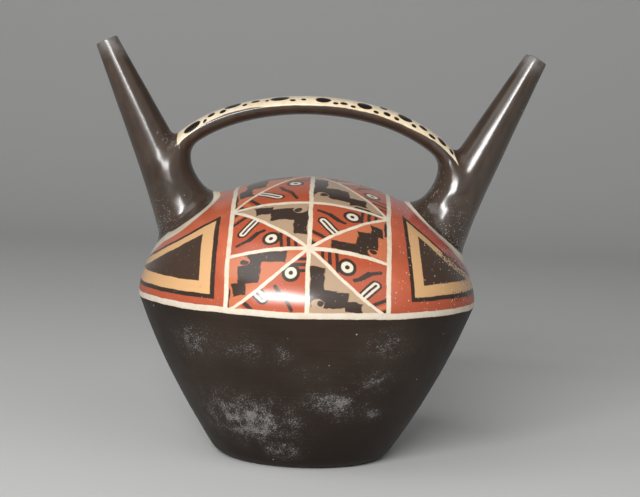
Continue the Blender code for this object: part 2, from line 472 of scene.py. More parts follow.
@dataclass
class Vessel:
    """The whole vessel as one closed piece of clay, outside and inside."""

    body: Body = field(default_factory=Body)
    left: Spout = field(default_factory=lambda: Spout(
        "left", -1, 19.8 * MM, math.radians(26.3), 86.1 * MM, 69.0 * MM, -3.2 * MM, 1.9, 0.25 * MM))
    right: Spout = field(default_factory=lambda: Spout(
        "right", 1, 17.8 * MM, math.radians(27.6), 87.9 * MM, 68.7 * MM, 0.2 * MM, 3.3, 0.9 * MM))
    voxel: float = 1.15 * MM
    outer_cut: float = 38.0 * MM
    inner_cut: float = 30.0 * MM
    neck_gap: float = 1.5 * MM
    neck_steps: int = 64
    neck_rings: int = 26
    bore_rings: int = 21
    lip_rings: int = 5
    lip_easing: float = 0.45
    bore_overlap: float = 8.0 * MM
    rim_reach: float = 2.0 * MM
    rim_spread: float = 20.0 * MM
    lip_wear_reach: float = 3.0 * MM
    chip_width: float = 0.42
    lip_waver: float = 0.12 * MM
    hand_waver: float = 0.22 * MM
    hand_size: float = 34.0 * MM
    finger_size: float = 13.0 * MM
    slip_over_lip: float = 1.2 * MM
    slip_depth: float = 0.9 * MM
    bridge: Bridge = field(init=False)

    def __post_init__(self) -> None:
        """Seat the bridge on the two spouts' axes."""
        seats = []
        for spout in (self.left, self.right):
            point = spout.tip(self.body) - spout.direction() * spout.bridge_drop
            seats.append(Vector((point.x - spout.side * spout.bridge_seat, 0.0, point.z)))
        self.bridge = Bridge(seats[0], seats[1])

    def spouts(self) -> tuple[Spout, Spout]:
        """The two spouts, left first."""
        return self.left, self.right

    def distance(self, points: np.ndarray) -> np.ndarray:
        """Distance to the whole outer face, with a soft fillet at each joint."""
        total = self.body.distance(points)
        for spout in self.spouts():
            width = spout.fillet_at(points, self.body)
            total = smooth_union(total, spout.distance(points, self.body), width)
        width = self.bridge.fillet_at(points)
        return smooth_union(total, self.bridge.distance(points), width)

    def settle(self, item: bpy.types.Object, rounds: int) -> None:
        """Move each vertex square onto the outer face.

        Args:
            item: The piece whose vertices lie near the outer face.
            rounds: How many steps each vertex takes.
        """
        points = read_rows(item.data.vertices, "co")
        probe = 0.04 * MM
        for _ in range(rounds):
            here = self.distance(points)
            slope = np.empty_like(points)
            for axis in range(3):
                moved = points.copy()
                moved[:, axis] += probe
                slope[:, axis] = (self.distance(moved) - here) / probe
            steep = np.maximum((slope * slope).sum(axis=1), 0.05)
            step = np.clip(here / steep, -MM, MM)
            points -= slope * step[:, None]
        write_points(item.data, points)

    def rough(self) -> bpy.types.Object:
        """The body, spouts and bridge as overlapping plain shapes, joined into one object."""
        outline = [(point.x, point.y) for point in self.body.outline()]
        item = spun("vessel_clay", outline, 96)
        others = [self.bridge.rough()]
        for spout in self.spouts():
            depth = spout.length + spout.depth
            deselect_all()
            bpy.ops.mesh.primitive_cone_add(
                vertices=48, radius1=float(spout.radius_at(depth)), radius2=spout.lip_radius,
                depth=depth, location=(0.0, 0.0, -depth / 2.0))
            cone = bpy.context.object
            bake_placement(cone)
            bake_placement(cone, spout.placed(self.body))
            others.append(cone)
        join_into(item, others)
        return item

    def skin(self) -> bpy.types.Object:
        """The outer face in even faces, open where the spouts' necks go on."""
        item = self.rough()
        settings = {"mode": "VOXEL", "voxel_size": self.voxel, "adaptivity": 0.0}
        apply_modifier(item, "REMESH", settings)
        self.settle(item, 3)
        with editing(item):
            bpy.ops.mesh.vertices_smooth(factor=0.5, repeat=3)
        self.settle(item, 3)
        for spout in self.spouts():
            self.cut_across(item, spout, self.outer_cut)
        return item

    def cut_across(self, item: bpy.types.Object, spout: Spout, below_lip: float) -> None:
        """Cut a spout off square to its axis, at a distance below its lip."""
        place = spout.tip(self.body) - spout.direction() * below_lip
        with editing(item):
            bpy.ops.mesh.bisect(
                plane_co=tuple(place), plane_no=tuple(spout.direction()), clear_outer=True,
                clear_inner=False, use_fill=False)

    def neck(self, spout: Spout) -> bpy.types.Object:
        """A spout's upper part, turned: up the outside, over the rounded lip and down the bore."""
        outer_end = self.outer_cut - self.neck_gap
        inner_end = self.inner_cut - self.neck_gap
        easing = self.lip_easing * spout.lip_wall
        outline = []
        for ring in range(self.bore_rings + 1):
            share = ring / self.bore_rings
            below = inner_end * (1.0 - share) + easing * ring / self.bore_rings
            outline.append((spout.bore_at(below), -below))
        inner_lip = spout.lip_radius - spout.lip_wall + easing
        outer_lip = spout.lip_radius - easing
        angles = [QUARTER_TURN * ring / self.lip_rings for ring in range(self.lip_rings + 1)]
        for angle in angles[1:]:
            height = -easing + easing * math.sin(angle)
            outline.append((inner_lip - easing * math.cos(angle), height))
        for angle in angles:
            height = -easing + easing * math.cos(angle)
            outline.append((outer_lip + easing * math.sin(angle), height))
        for ring in range(1, self.neck_rings + 1):
            below = easing + (outer_end - easing) * ring / self.neck_rings
            outline.append((float(spout.radius_at(below)), -below))
        item = spun(spout.name + "_neck", outline, self.neck_steps)
        self.wear_lip(item, spout)
        bake_placement(item, spout.placed(self.body))
        return item

    def wear_lip(self, item: bpy.types.Object, spout: Spout) -> None:
        """Rub a spout's lip down a little, with one worn chip."""
        points = read_rows(item.data.vertices, "co")
        round_axis = np.arctan2(points[:, 1], points[:, 0])
        near_lip = np.clip(1.0 + points[:, 2] / self.lip_wear_reach, 0.0, 1.0) ** 2
        apart = np.angle(np.exp(1j * (round_axis - spout.chip_angle)))
        chip = spout.chip_depth * np.exp(-(apart / self.chip_width) ** 2)
        swing = np.sin(2.0 * round_axis + 1.3) * np.cos(3.0 * round_axis)
        points[:, 2] -= near_lip * (chip + self.lip_waver * (1.0 + swing))
        write_points(item.data, points)

    def hollow(self) -> bpy.types.Object:
        """The inside: the body's hollow with the two bores, faces towards the empty space."""
        item = spun("vessel_hollow", self.body.hollow(), self.neck_steps)
        for spout in self.spouts():
            depth = spout.length + spout.depth
            top = self.inner_cut - self.bore_overlap
            side = [(spout.bore_at(below), -below) for below in (top, spout.length, depth)]
            outline = [(0.0, -top), *side, (0.0, -depth)]
            bore = spun(spout.name + "_bore", outline, self.neck_steps)
            bake_placement(bore, spout.placed(self.body))
            settings = {"operation": "UNION", "object": bore, "solver": "EXACT"}
            apply_modifier(item, "BOOLEAN", settings)
            bpy.data.objects.remove(bore, do_unlink=True)
        for spout in self.spouts():
            self.cut_across(item, spout, self.inner_cut)
        with editing(item):
            bpy.ops.mesh.flip_normals()
        return item

    def bridge_rims(self, item: bpy.types.Object, spout: Spout, cut: float) -> None:
        """Close the ring-shaped gap between two open rims near a cut."""
        tip, axis = spout.tip(self.body), spout.direction()
        with editing(item, "DESELECT"):
            work = bmesh.from_edit_mesh(item.data)
            for edge in work.edges:
                if not edge.is_boundary:
                    continue
                offset = (edge.verts[0].co + edge.verts[1].co) / 2.0 - tip
                below = -offset.dot(axis)
                spread = (offset + axis * below).length
                from_gap = abs(below - cut + 0.5 * self.neck_gap)
                if from_gap < self.rim_reach and spread < self.rim_spread:
                    edge.select_set(True)
            bmesh.update_edit_mesh(item.data)
            bpy.ops.mesh.bridge_edge_loops()

    def waver(self, item: bpy.types.Object) -> None:
        """Press the faces in a little here and there, as hands leave them. The foot stays flat."""
        mesh = item.data
        points = read_rows(mesh.vertices, "co")
        normals = read_rows(mesh.vertices, "normal")
        for index, point in enumerate(points):
            place = Vector(point)
            swell = noise.noise(place / self.hand_size)
            swell += 0.45 * noise.noise(place / self.finger_size)
            lift = min(max((point[2] - 2.0 * MM) / (10.0 * MM), 0.0), 1.0)
            press = self.hand_waver * lift * min(max(0.5 + swell, 0.0), 1.4)
            points[index] = point - normals[index] * press
        write_points(mesh, points)

    def build(self) -> bpy.types.Object:
        """Build the closed piece.

        Returns:
            The vessel's object, at the origin, with its inner faces marked for the bare clay.
        """
        item = self.skin()
        necks = [self.neck(spout) for spout in self.spouts()]
        hollow = self.hollow()
        outer_count = len(item.data.polygons)
        join_into(item, necks + [hollow])
        for spout in self.spouts():
            self.bridge_rims(item, spout, self.outer_cut)
            self.bridge_rims(item, spout, self.inner_cut)
        with editing(item):
            bpy.ops.mesh.remove_doubles(threshold=WELD)
        self.waver(item)
        bpy.ops.object.shade_smooth()
        self.mark_inside(item)
        LOG.info("vessel skin has %d faces, whole piece %d", outer_count, len(item.data.polygons))
        self.report_edges(item)
        return item

    def mark_inside(self, item: bpy.types.Object) -> None:
        """Give the faces of the hollow and the bores the bare clay's material index."""
        mesh = item.data
        centres = read_rows(mesh.polygons, "center")
        depth = self.distance(centres)
        past_lips = np.ones(len(centres), dtype=bool)
        for spout in self.spouts():
            below, _ = spout.along_and_across(centres, self.body)
            past_lips &= below > self.slip_over_lip
        inside = (depth < -self.slip_depth) & past_lips
        mesh.polygons.foreach_set("material_index", inside.astype(np.int32))

    def report_edges(self, item: bpy.types.Object) -> None:
        """Log how many edges don't join exactly two faces."""
        work = bmesh.new()
        work.from_mesh(item.data)
        loose = sum(1 for edge in work.edges if len(edge.link_faces) != 2)
        volume = work.calc_volume(signed=True)
        work.free()
        LOG.info("open edges %d, clay volume %.1f cubic centimetres", loose, volume * 1e6)


class Value:
    """A number socket that takes arithmetic."""

    def __init__(self, graph: "Graph", socket: bpy.types.NodeSocket) -> None:
        """Keep the graph and the socket."""
        self.graph = graph
        self.socket = socket

    def __add__(self, other: "Value | float") -> "Value":
        """Add."""
        return self.graph.math("ADD", self, other)

    __radd__ = __add__

    def __sub__(self, other: "Value | float") -> "Value":
        """Subtract."""
        return self.graph.math("SUBTRACT", self, other)

    def __rsub__(self, other: float) -> "Value":
        """Subtract from a number."""
        return self.graph.math("SUBTRACT", other, self)

    def __mul__(self, other: "Value | float") -> "Value":
        """Multiply."""
        return self.graph.math("MULTIPLY", self, other)

    __rmul__ = __mul__

    def __truediv__(self, other: "Value | float") -> "Value":
        """Divide."""
        return self.graph.math("DIVIDE", self, other)

    def __rtruediv__(self, other: float) -> "Value":
        """Divide a number by the value."""
        return self.graph.math("DIVIDE", other, self)

    def __pow__(self, other: float) -> "Value":
        """Raise to a power."""
        return self.graph.math("POWER", self, other)

    def __abs__(self) -> "Value":
        """The size without its sign."""
        return self.graph.math("ABSOLUTE", self)

    def low(self, other: "Value | float") -> "Value":
        """The smaller of two."""
        return self.graph.math("MINIMUM", self, other)

    def high(self, other: "Value | float") -> "Value":
        """The larger of two."""
        return self.graph.math("MAXIMUM", self, other)

    def below(self, edge: float, soft: float) -> "Value":
        """A mask that is 1 where the value is under an edge, with a soft step."""
        return self.graph.ramp(self, edge - 0.5 * soft, edge + 0.5 * soft, 1.0, 0.0)

    def above(self, edge: float, soft: float) -> "Value":
        """A mask that is 1 where the value is over an edge, with a soft step."""
        return self.graph.ramp(self, edge - 0.5 * soft, edge + 0.5 * soft, 0.0, 1.0)


Number = Value | float
Colour = Value | Slip


class Graph:
    """The nodes of one material."""

    def __init__(self, name: str) -> None:
        """Make a material with an empty node tree."""
        self.material = bpy.data.materials.new(name)
        self.material.use_nodes = True
        self.tree = self.material.node_tree
        self.tree.nodes.clear()

    def node(self, kind: str, settings: dict[str, object], sockets: dict[Key, object],
             output: Key = 0) -> Value:
        """Add one node.

        Args:
            kind: The node's type.
            settings: Properties that are set before its sockets.
            sockets: Values or links of its input sockets, by number or name.
            output: Which output the result wraps.

        Returns:
            The chosen output.
        """
        made = self.tree.nodes.new(kind)
        for name, setting in settings.items():
            setattr(made, name, setting)
        for name, content in sockets.items():
            socket = made.inputs[name]
            if isinstance(content, Value):
                self.tree.links.new(content.socket, socket)
            else:
                socket.default_value = content.value if isinstance(content, Slip) else content
        return Value(self, made.outputs[output] if len(made.outputs) else None)

    def math(self, operation: str, first: Number, second: Number | None = None,
             clamp: bool = False) -> Value:
        """One Math node."""
        sockets = {0: first} if second is None else {0: first, 1: second}
        settings = {"operation": operation, "use_clamp": clamp}
        return self.node("ShaderNodeMath", settings, sockets)

    def ramp(self, value: Value, start: float, end: float, low: float, high: float) -> Value:
        """A straight ramp between two values, flat outside them."""
        sockets = {0: value, 1: start, 2: end, 3: low, 4: high}
        return self.node("ShaderNodeMapRange", {"clamp": True}, sockets)

    def vector(self, operation: str, first: object, second: object = None,
               output: Key = 0) -> Value:
        """One Vector Math node."""
        sockets = {0: first} if second is None else {0: first, 1: second}
        return self.node("ShaderNodeVectorMath", {"operation": operation}, sockets, output)

    def scaled(self, vector: Value, factor: Number) -> Value:
        """A vector times a number."""
        sockets = {0: vector, "Scale": factor}
        return self.node("ShaderNodeVectorMath", {"operation": "SCALE"}, sockets)

    def point(self, across: Number, up: Number, deep: Number = 0.0) -> Value:
        """Three numbers as a vector."""
        return self.node("ShaderNodeCombineXYZ", {}, {0: across, 1: up, 2: deep})

    def choose(self, mask: Value, off: Number, on: Number) -> Value:
        """A number that goes from one value to another with a mask."""
        sockets = {0: mask, 2: off, 3: on}
        return self.node("ShaderNodeMix", {"data_type": "FLOAT"}, sockets)

    def hypot(self, first: Value, second: Number) -> Value:
        """The root of the sum of two squares."""
        return self.math("SQRT", first * first + second * second)

    def blend(self, mask: Number, under: Colour, over: Colour) -> Value:
        """A colour laid over another with a mask."""
        sockets = {0: mask, 6: under, 7: over}
        return self.node("ShaderNodeMix", {"data_type": "RGBA"}, sockets, 2)

    def close(self, sockets: dict[Key, object]) -> bpy.types.Material:
        """End the material with one Principled shader."""
        shader = self.node("ShaderNodeBsdfPrincipled", {}, sockets)
        self.node("ShaderNodeOutputMaterial", {}, {"Surface": shader})
        return self.material

    def bump(self, height: Value, strength: float, distance: float) -> Value:
        """A normal that follows a relief."""
        sockets = {"Strength": strength, "Distance": distance, "Height": height}
        return self.node("ShaderNodeBump", {}, sockets)

    def noise(self, vector: Value, scale: float, detail: float, rough: float = 0.5,
              output: Key = 0) -> Value:
        """Cloudy noise with features about one over the scale wide."""
        sockets = {"Vector": vector, "Scale": scale, "Detail": detail, "Roughness": rough}
        return self.node("ShaderNodeTexNoise", {"noise_dimensions": "3D"}, sockets, output)

    def cells(self, vector: Value, scale: float, output: Key = "Distance") -> Value:
        """Scattered cells: the distance to the nearest centre, or a random colour per cell."""
        sockets = {"Vector": vector, "Scale": scale, "Randomness": 1.0}
        return self.node("ShaderNodeTexVoronoi", {"feature": "F1"}, sockets, output)

    def split(self, vector: Value) -> tuple[Value, Value, Value]:
        """The three numbers of a vector."""
        first = self.node("ShaderNodeSeparateXYZ", {}, {0: vector}, 0)
        outputs = first.socket.node.outputs
        return first, Value(self, outputs[1]), Value(self, outputs[2])

    def disc(self, place: Value, centre: Pair,
             scale: Value | Triple | None = None) -> Value:
        """Distance from a centre, with an optional vector of sizes per unit."""
        gap = self.vector("SUBTRACT", place, (centre[0], centre[1], 0.0))
        if scale is not None:
            gap = self.vector("MULTIPLY", gap, scale)
        return self.vector("LENGTH", gap, None, "Value")

    def stroke(self, place: Value, start: Pair, end: Pair,
               scale: Value) -> Value:
        """Distance from a straight brush stroke, in the units that the scale gives."""
        span = (end[0] - start[0], end[1] - start[1], 0.0)
        gap = self.vector("MULTIPLY", self.vector("SUBTRACT", place, (*start, 0.0)), scale)
        run = self.vector("MULTIPLY", span, scale)
        along = self.vector("DOT_PRODUCT", gap, run, "Value")
        length = self.vector("DOT_PRODUCT", run, run, "Value")
        share = self.math("DIVIDE", along, length, clamp=True)
        rest = self.vector("SUBTRACT", gap, self.scaled(run, share))
        return self.vector("LENGTH", rest, None, "Value")

    def block(self, across: Value, up: Value, box: Quad) -> Value:
        """How far a place lies outside a box, below zero inside it."""
        left, right, bottom, top = box
        side = abs(across - 0.5 * (left + right)) - 0.5 * (right - left)
        level = abs(up - 0.5 * (bottom + top)) - 0.5 * (top - bottom)
        return side.high(level)


@dataclass(frozen=True)
class BareClay:
    """The unslipped clay inside the spouts and the hollow."""

    roughness: float = 0.9

    def material(self) -> bpy.types.Material:
        """Make the inside's material."""
        graph = Graph("bare_clay")
        place = graph.node("ShaderNodeTexCoord", {}, {}, "Object")
        patches = graph.noise(place, 90.0, 4.0)
        grain = graph.noise(place, 1400.0, 3.0)
        colour = graph.blend(patches.above(0.5, 0.4), Slip.BARE_CLAY_DARK, Slip.BARE_CLAY)
        bump = graph.bump(grain, 0.4, 0.0002)
        return graph.close({"Base Color": colour, "Roughness": self.roughness, "Normal": bump})


@dataclass(frozen=True)
class Collar:
    """The dark patch round a spout's root, in millimetres.

    The mean radius is round the spout's axis. The lean is how much further the patch reaches
    towards the crown, and the pinch how much it narrows towards the crown and away from it. The
    line scale, over one, thins the cream line along its edge.
    """

    mean: float
    lean: float
    pinch: float
    line_scale: float = 1.0


@dataclass(frozen=True)
class SideField:
    """Where the nested triangle on one side is drawn, in millimetres.

    Its inner edge runs beside the strip and may lean, its floor edge lies over the cream ring, and
    its roof edge looks straight from in front, from a point by the strip to one further out.
    """

    inner_edge: float
    inner_lean: float
    inner_scale: float
    floor_edge: float
    roof_start: Triple
    roof_end: Triple
    roof_scale: float


@dataclass(frozen=True)
class PaintedClay:
    """The outer finish: burnished dark slip with a painted band over the dome.

    Sizes are in millimetres. The band is a strip of three square cells that runs from front to
    back over the dome, each with an eight-rayed star. A painted field fills each side. The strokes
    are start, end and half width, with the ends in shares of a triangle. The steps and the corner
    are left, right, bottom and top, in the same shares. A rubbed patch is its place round the
    body, height, half width, half height and strength. An oval is its place along X, its turn
    round the strap in degrees, and half its size in both.
    """

    body: Body
    left: Spout
    right: Spout
    bridge: Bridge
    strip_centre: float = 0.7
    strip_half: float = 33.8
    first_edge: float = 32.8
    star_height: float = 59.3
    foot_edge: float = 90.0
    edge_sag: float = 3.7e-5
    middle_cell_half: float = 42.6
    outer_cell_half: float = 29.2
    line_half: float = 0.92
    slant_half: float = 0.74
    border_half: float = 0.95
    soft: float = 0.28
    ring_low: float = 71.0
    ring_high: float = 73.6
    left_field: SideField = SideField(
        38.2, 0.0, 0.97, 76.5, (-38.2, -36.8, 109.5), (-65.8, -22.3, 92.3), 2.2)
    right_field: SideField = SideField(
        40.4, 0.13, 1.17, 77.9, (41.1, -28.1, 111.8), (69.9, -17.1, 87.9), 2.9)
    lean_top: float = 112.0
    tan_inset: float = 1.9
    core_inset: float = 6.8
    left_collar: Collar = Collar(19.3, 3.6, -5.6)
    right_collar: Collar = Collar(18.2, 0.9, -0.7, 1.35)
    collar_line: float = 0.8
    strap_left: float = -60.4
    strap_right: float = 62.6
    strap_low: float = 134.0
    coat_roughness: float = 0.20
    coat_ior: float = 1.6
    slip_ior: float = 1.25
    strokes: tuple[tuple[Pair, Pair, float], ...] = (
        ((0.57, 0.40), (0.65, 0.36), 0.85), ((0.65, 0.36), (0.75, 0.26), 1.15),
        ((0.75, 0.26), (0.90, 0.19), 0.8), ((0.78, 0.80), (1.00, 0.64), 0.9),
        ((0.90, 0.93), (1.00, 0.85), 0.85), ((0.16, 0.00), (0.17, 0.14), 0.7),
        ((0.25, 0.00), (0.26, 0.20), 0.8), ((0.34, 0.02), (0.355, 0.30), 0.7))
    steps: tuple[Quad, ...] = (
        (0.27, 0.62, 0.03, 0.20), (0.60, 0.86, 0.04, 0.50), (0.76, 0.93, 0.48, 0.70))
    corner: Quad = (0.955, 1.00, 0.55, 0.93)
    rubbed: tuple[tuple[float, float, float, float, float], ...] = (
        (-40.0, 57.0, 17.0, 11.0, 0.78), (-20.5, 56.0, 12.0, 9.0, 0.66),
        (-6.5, 55.5, 8.0, 8.0, 0.55), (-26.0, 23.0, 37.0, 17.0, 1.1),
        (-10.0, 9.5, 16.0, 7.0, 0.9), (14.5, 32.5, 21.0, 11.0, 0.9),
        (28.0, 43.0, 12.0, 10.0, 0.68), (29.0, 59.0, 14.0, 11.0, 0.75),
        (32.0, 27.0, 12.0, 5.0, 0.7), (2.0, 46.0, 12.0, 8.0, 0.4), (95.0, 30.0, 24.0, 16.0, 0.8),
        (-110.0, 40.0, 26.0, 18.0, 0.8), (160.0, 24.0, 24.0, 14.0, 0.8),
        (-150.0, 52.0, 20.0, 12.0, 0.6))
    ovals: tuple[Quad, ...] = (
        (-54.1, 54.0, 3.5, 23.0), (-36.3, 27.0, 3.6, 21.0), (-15.3, 38.0, 4.3, 19.0),
        (4.0, 51.0, 3.5, 19.0), (22.5, 52.0, 3.4, 22.0), (41.0, 39.0, 3.3, 22.0),
        (57.8, 46.0, 2.0, 15.0), (-45.7, 40.0, 1.6, 13.0), (-40.5, 50.0, 1.4, 12.0),
        (-26.2, 36.0, 2.0, 11.0), (13.2, 64.0, 1.7, 9.0), (31.0, 22.0, 1.8, 16.0),
        (32.6, 64.0, 1.7, 11.0), (49.2, 46.0, 1.8, 13.0), (53.2, 64.0, 1.5, 9.0),
        (-48.4, 63.0, 0.9, 10.0), (-30.8, 48.0, 1.1, 9.0), (-21.1, 45.0, 0.9, 7.0),
        (-9.5, 59.0, 1.3, 8.0), (-4.7, 54.0, 1.2, 7.0), (9.5, 69.0, 1.2, 8.0),
        (17.3, 74.0, 1.2, 8.0), (27.7, 75.0, 1.2, 9.0), (37.0, 70.0, 1.2, 9.0),
        (45.0, 66.0, 1.1, 9.0), (62.3, 46.0, 1.0, 9.0))

    def material(self) -> bpy.types.Material:
        """Make the outside's material."""
        return ClayPainter(self).paint()


class ClayPainter:
    """Draws the finish of PaintedClay as nodes."""

    def __init__(self, finish: PaintedClay) -> None:
        """Set up the coordinates that all the painting shares."""
        self.finish = finish
        self.graph = graph = Graph("burnished_painted_clay")
        self.place = graph.scaled(graph.node("ShaderNodeTexCoord", {}, {}, "Object"), 1.0 / MM)
        sway, tremor = self.shake(0.06, 1.5), self.shake(0.45, 0.35)
        drawn = graph.vector("ADD", self.place, graph.vector("ADD", sway, tremor))
        self.x, self.y, self.z = graph.split(drawn)
        self.true_x, self.true_y, self.true_z = graph.split(self.place)
        body = finish.body
        self.radius = body.radius / MM
        self.shoulder = body.shoulder_height / MM
        self.dome = body.dome_height / MM

    def shake(self, scale: float, amount: float) -> Value:
        """How a hand strays from its line: a random vector."""
        cloud = self.graph.noise(self.place, scale, 2.0, 0.5, "Color")
        return self.graph.scaled(self.graph.vector("SUBTRACT", cloud, (0.5, 0.5, 0.5)), amount)

    def streaky(self, stretch: Triple, scale: float, detail: float, rough: float = 0.5) -> Value:
        """Cloudy noise that is drawn out by a stretch along each axis."""
        place = self.graph.vector("MULTIPLY", self.place, stretch)
        return self.graph.noise(place, scale, detail, rough)

    def tilt(self) -> Value:
        """The turn over the dome in degrees: 0 at the crown, 90 at the front edge, minus behind."""
        rise = (self.z - self.shoulder) / self.dome
        return self.graph.math("ARCTAN2", self.y * (-1.0 / self.radius), rise) * (180.0 / math.pi)

    def height_over_dome(self) -> Value:
        """How far a place stands off the dome, as a share: zero on it."""
        spread = self.graph.hypot(self.true_x, self.true_y)
        power = self.finish.body.dome_roundness
        rise = ((self.true_z - self.shoulder) / self.dome).high(0.0)
        return (spread / self.radius) ** power + rise ** power - 1.0

    def cell_place(self) -> tuple[Value, Value, Value, Value]:
        """Where a place lies in its square cell.

        Returns:
            Across and up from -1 to 1, the cell's number from -1 in front to 1 behind, and the
            cell's half height in millimetres.
        """
        finish, graph = self.finish, self.graph
        tilt = self.tilt()
        size = abs(tilt)
        across = (self.x - finish.strip_centre) / finish.strip_half
        sag = size * size * (finish.foot_edge - size) * finish.edge_sag
        size = (size - sag * across * across).high(0.0)
        near = graph.ramp(size, 0.0, finish.first_edge, 0.0, 1.0)
        middle = graph.ramp(size, finish.first_edge, finish.star_height, 0.0, 1.0)
        far_end = finish.foot_edge + (finish.foot_edge - finish.star_height)
        far = graph.ramp(size, finish.star_height, far_end, 0.0, 2.0)
        way = graph.math("SIGN", tilt) * (near + middle + far) * -1.0
        number = graph.math("ROUND", way * 0.5)
        up = way - number * 2.0
        outer = abs(number).low(1.0)
        half_height = graph.choose(outer, finish.middle_cell_half, finish.outer_cell_half)
        return across, up, number, half_height

    def lines(self, across: Value, up: Value, half_height: Value) -> Value:
        """The cream lines of the strip: stars, cell edges and side borders."""
        finish, graph = self.finish, self.graph
        wide = finish.strip_half
        upright = abs(across) * wide
        level = abs(up) * half_height
        scale = half_height * wide / graph.hypot(half_height, wide)
        rising = abs(across - up) * scale
        falling = abs(across + up) * scale
        cell_edge = abs(abs(up) - 1.0) * half_height
        brush = (graph.noise(self.place, 0.25, 2.0) - 0.5) * 0.6
        star = (upright.low(level).low(cell_edge) + brush).below(finish.line_half, finish.soft)
        slanted = (rising.low(falling) + brush).below(finish.slant_half, finish.soft)
        star = star.high(slanted) * abs(across).below(1.0, 0.02)
        border = (abs(abs(across) - 1.0) * wide).below(finish.border_half, finish.soft)
        return star.high(border)

    def folded(self, across: Value, up: Value) -> tuple[Value, Value, Value]:
        """Fold the four quarters of a cell into one.

        Returns:
            How far out from the star, how far to the painted side (plus on red triangles), and a
            mask that is 1 in the quarters left and right of the star.
        """
        graph = self.graph
        wide, tall = abs(across), abs(up)
        sideways = graph.math("GREATER_THAN", wide, tall)
        outward = wide.high(tall)
        along_side = graph.math("SIGN", across) * up * -1.0
        along_top = graph.math("SIGN", up) * across
        turned = graph.choose(sideways, along_top, along_side)
        return outward, turned, sideways

    def triangle_art(self, across: Value, up: Value, number: Value, half_height: Value,
                     ground: Value) -> Value:
        """Paint the eight triangles of each cell.

        Args:
            across: Where the place lies across its cell.
            up: Where it lies up its cell.
            number: The cell's number.
            half_height: The cell's half height in millimetres.
            ground: The colour outside the strip.

        Returns:
            The colour with the triangles laid over it.
        """
        graph = self.graph
        outward, turned, sideways = self.folded(across, up)
        red_side = turned.above(0.0, 0.004)
        wide = self.finish.strip_half
        out_scale = graph.choose(sideways, half_height, wide)
        turn_scale = graph.choose(sideways, wide, half_height)
        upper = graph.math("GREATER_THAN", up, 0.0)
        right = graph.math("GREATER_THAN", across, 0.0)
        centre_cell = 1.0 - abs(number).low(1.0)
        swap_front = (1.0 - sideways) * upper * (1.0 - centre_cell)
        swap_top = sideways * right * centre_cell
        swap = swap_front.high(swap_top)
        far = graph.choose(swap, outward, 1.0 - abs(turned))
        low = graph.choose(swap, abs(turned), 1.0 - outward)
        far_scale = graph.choose(swap, out_scale, turn_scale)
        low_scale = graph.choose(swap, turn_scale, out_scale)
        spot = graph.point(far, low)
        scale = graph.point(far_scale, low_scale)
        low_front = (1.0 - sideways) * (1.0 - upper) * (1.0 - centre_cell)
        red = self.red_triangle(spot, scale, low_front)
        pale = graph.blend(sideways, Slip.BEIGE, Slip.ORANGE)
        wobble = graph.noise(self.place, 0.16, 2.0, 0.5, "Color")
        wobble_out, wobble_low, _ = graph.split(wobble)
        drawn_out = outward + (wobble_out - 0.5) * 0.11
        plain = self.stepped_triangle(drawn_out, abs(turned) + (wobble_low - 0.5) * 0.11, pale)
        art = graph.blend(red_side, plain, red)
        inside = abs(across).below(1.0, 0.02)
        return graph.blend(inside, ground, art)

    def red_triangle(self, spot: Value, scale: Value, squeezed: Value) -> Value:
        """An eye, a finger and short dark strokes on red.

        Args:
            spot: Where the place lies in the triangle.
            scale: Millimetres per unit of the spot.
            squeezed: A mask of the triangles whose figures lie nearer the star.

        Returns:
            The triangle's colour.
        """
        graph, soft = self.graph, self.finish.soft
        eye_spot = graph.vector("ADD", spot, graph.scaled(graph.point(0.09, 0.01), squeezed))
        eye = graph.disc(eye_spot, (0.47, 0.22), scale)
        finger = graph.stroke(spot, (0.69, 0.64), (0.84, 0.42), scale)
        low_finger = graph.stroke(spot, (0.57, 0.69), (0.75, 0.55), scale) - 0.15
        finger = graph.choose(squeezed, finger, low_finger)
        dark = (eye - 3.9).low(finger - 2.5)
        for start, end, half in self.finish.strokes:
            dark = dark.low(graph.stroke(spot, start, end, scale) - half)
        warm = graph.stroke(spot, (0.84, 0.87), (1.00, 0.75), scale).below(0.9, soft)
        colour = graph.blend(warm, Slip.RED, Slip.ORANGE)
        colour = graph.blend(dark.below(0.0, soft), colour, Slip.INK)
        white = (eye.below(2.5, soft)).high(finger.below(1.55, soft))
        colour = graph.blend(white, colour, Slip.CREAM)
        core = eye.below(0.95, soft).high(finger.below(0.5, soft))
        return graph.blend(core, colour, Slip.INK)

    def stepped_triangle(self, out: Value, low: Value, pale: Value) -> Value:
        """A dark stepped figure with a hook, on the paler slip."""
        graph = self.graph
        soft = 0.011
        boxes = (*self.finish.steps, self.finish.corner)
        spike = (out - 0.60 + (low - 0.36) * 0.55).high(0.585 - out).high(low - 0.58)
        figure = reduce(Value.low, [graph.block(out, low, box) for box in boxes]).low(spike)
        spot = graph.point(out, low)
        hook, curl = graph.disc(spot, (0.82, 0.13)), graph.disc(spot, (0.80, 0.16))
        notch = hook.below(0.085, soft) * (1.0 - curl.below(0.045, soft))
        dark = figure.below(0.0, soft) * (1.0 - notch)
        return graph.blend(dark, pale, Slip.INK)

    def below_roof(self, side: SideField) -> Value:
        """How far a place lies below a field's roof edge, on the front and mirrored behind.

        Args:
            side: The field.

        Returns:
            Millimetres below the edge as they look from in front, times the roof's scale.
        """
        eye = Vector(VIEWPOINT) / MM
        normal = (Vector(side.roof_start) - eye).cross(Vector(side.roof_end) - eye).normalized()
        normal = normal if normal.z < 0.0 else -normal
        place = self.graph.point(self.x, abs(self.y) * -1.0, self.z)
        below = self.graph.vector("DOT_PRODUCT", place, tuple(normal), "Value") - normal.dot(eye)
        return below * side.roof_scale

